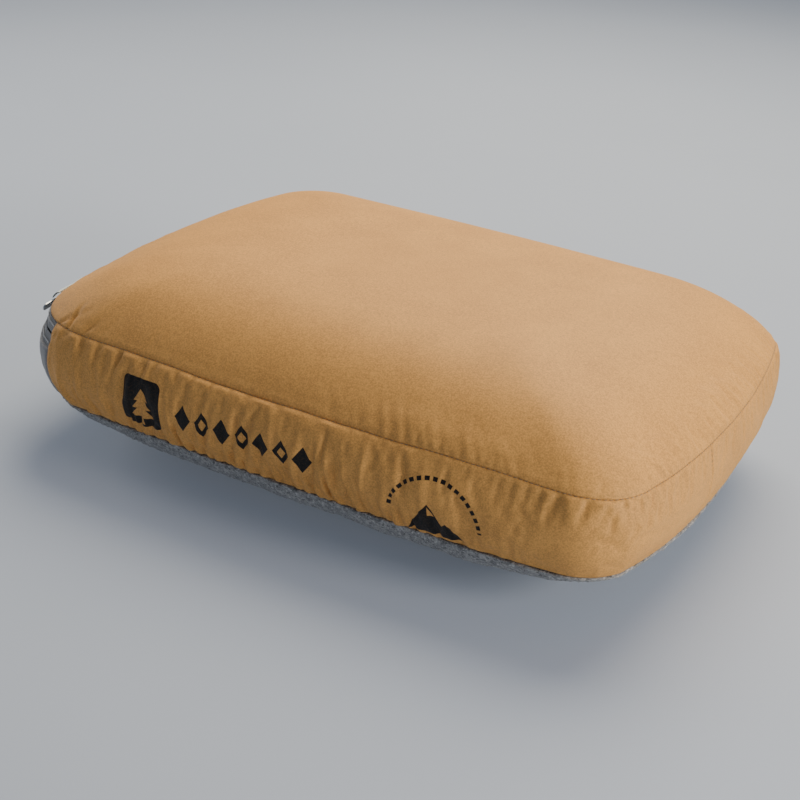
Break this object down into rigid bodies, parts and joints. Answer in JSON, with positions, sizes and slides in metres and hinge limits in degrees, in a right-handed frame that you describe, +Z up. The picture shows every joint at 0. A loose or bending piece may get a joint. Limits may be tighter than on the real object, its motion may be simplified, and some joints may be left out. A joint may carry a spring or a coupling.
{
  "type": "camp pillow",
  "caption": "Foam camp pillow: a crowned tan cover with a boxed side band, grey fleece underside and a zipped end, round a foam core in a knitted liner.",
  "frame": {"origin": "centre of the pillow's plan, at the flat patch it rests on", "axes": "+X along the length, away from the zipped end; -Y the front; +Z up"},
  "size_m": [0.4596, 0.3238, 0.136],
  "materials": {
    "tan_cloth": "matte",
    "grey_cloth": "matte",
    "grey_fleece": "matte",
    "liner_knit": "matte",
    "foam": "matte",
    "zip_tape": "matte",
    "zip_coil": "satin",
    "zip_metal": "satin",
    "tan_thread": "matte",
    "grey_thread": "matte",
    "label_satin": "satin"
  },
  "bodies": {
    "pillow": {"foam_core": "foam", "core_liner_upper": "liner_knit", "core_liner_lower": "liner_knit", "top_panel": "tan_cloth", "bottom_panel": "grey_fleece", "side_band_front": "tan_cloth", "side_band_back": "tan_cloth", "end_panel": "grey_cloth", "zip_tape_upper": "zip_tape", "zip_tape_lower": "zip_tape", "zip_coil_upper": "zip_coil", "zip_coil_lower": "zip_coil", "zip_top_stop_upper": "zip_metal", "zip_top_stop_lower": "zip_metal", "zip_bottom_stop": "zip_metal", "zip_thread_upper": "grey_thread", "zip_thread_lower": "grey_thread", "top_seam_thread": "tan_thread", "bottom_seam_thread": "grey_thread", "front_corner_thread": "grey_thread", "back_corner_thread": "grey_thread", "band_join_thread": "tan_thread", "care_label": "label_satin"},
    "slider": {"zip_slider": "zip_metal"},
    "pull": {"zip_pull": "zip_metal"}
  },
  "joints": [
    {"name": "zip_travel", "type": "hinge", "parent": "pillow", "child": "slider", "pos_m": [0.41121, 0, 0], "axis": [0, 0, -1], "range_deg": [0, 18.81]},
    {"name": "pull_flip", "type": "hinge", "parent": "slider", "child": "pull", "pos_m": [-0.22239, -0.09723, 0.08501], "axis": [-0.3396, -0.0521, -0.9391], "range_deg": [0, 180]}
  ]
}
